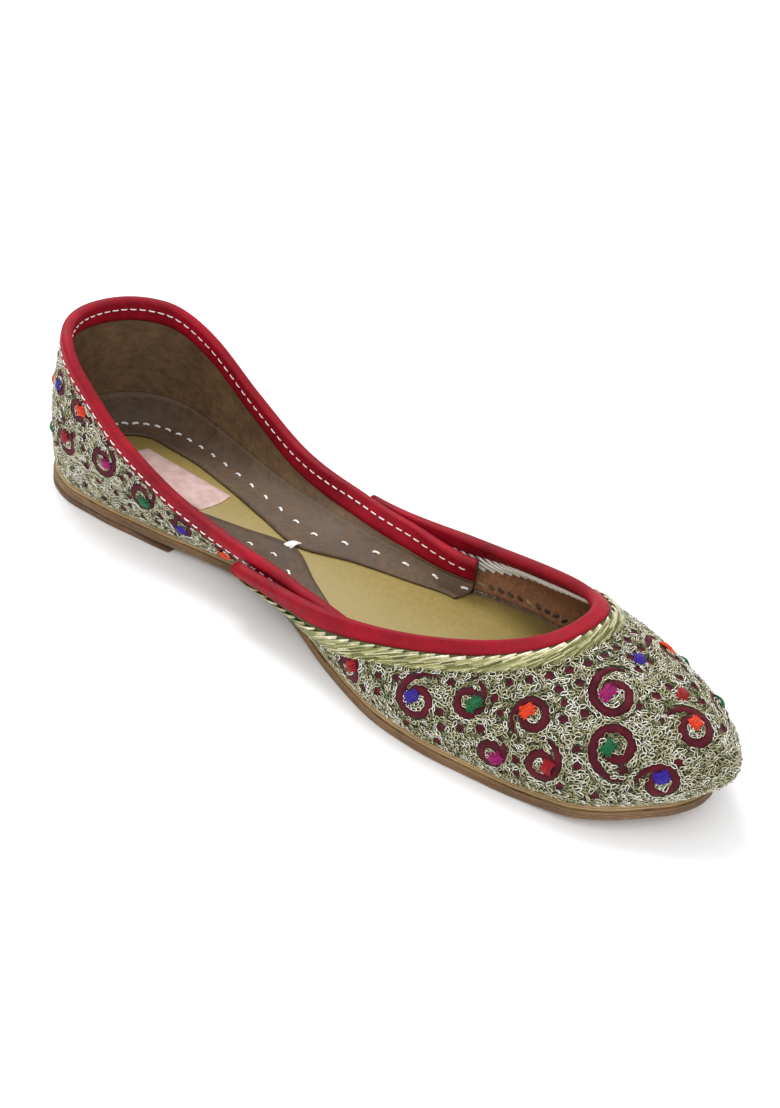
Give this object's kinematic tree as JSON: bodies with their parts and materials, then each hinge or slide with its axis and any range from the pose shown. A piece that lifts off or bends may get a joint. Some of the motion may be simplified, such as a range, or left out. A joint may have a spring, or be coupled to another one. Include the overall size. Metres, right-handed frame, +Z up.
{
  "type": "mojari shoe",
  "caption": "Flat slip-on mojari shoe with an embroidered hollow upper, red bindings round the open throat and collar, a plaited braid and a thin leather sole",
  "frame": {"origin": "middle of the shoe's bounding box, on the ground under the sole", "axes": "+X from heel to toe, +Y to the wearer's left, +Z up"},
  "size_m": [0.254, 0.0772, 0.0564],
  "materials": {
    "sole_leather": "matt veg-tanned leather, layered edge",
    "lift_leather": "matt dark leather",
    "midsole_leather": "pale matt leather",
    "sock_leather": "smooth khaki leather, soft sheen",
    "embroidered_upper": "metallic thread chain stitch on maroon cloth",
    "binding_leather": "smooth crimson leather, satin",
    "metallic_braid": "plaited pale gold strands, shiny",
    "patch_cloth": "matt woven patch",
    "maroon_cloth": "matt woven cloth",
    "zari_thread": "silver-gilt metallic thread",
    "silk_thread": "glossy coloured silk",
    "lining_leather": "fine-grained brown lining leather",
    "cotton_thread": "waxed white cotton thread"
  },
  "bodies": {
    "root": {"outsole": "sole_leather", "heel_lift": "lift_leather", "midsole": "midsole_leather", "insole": "sock_leather", "upper": "embroidered_upper", "collar_binding": "binding_leather", "throat_binding": "binding_leather", "throat_braid": "metallic_braid", "heel_patch": "patch_cloth"}
  },
  "joints": []
}
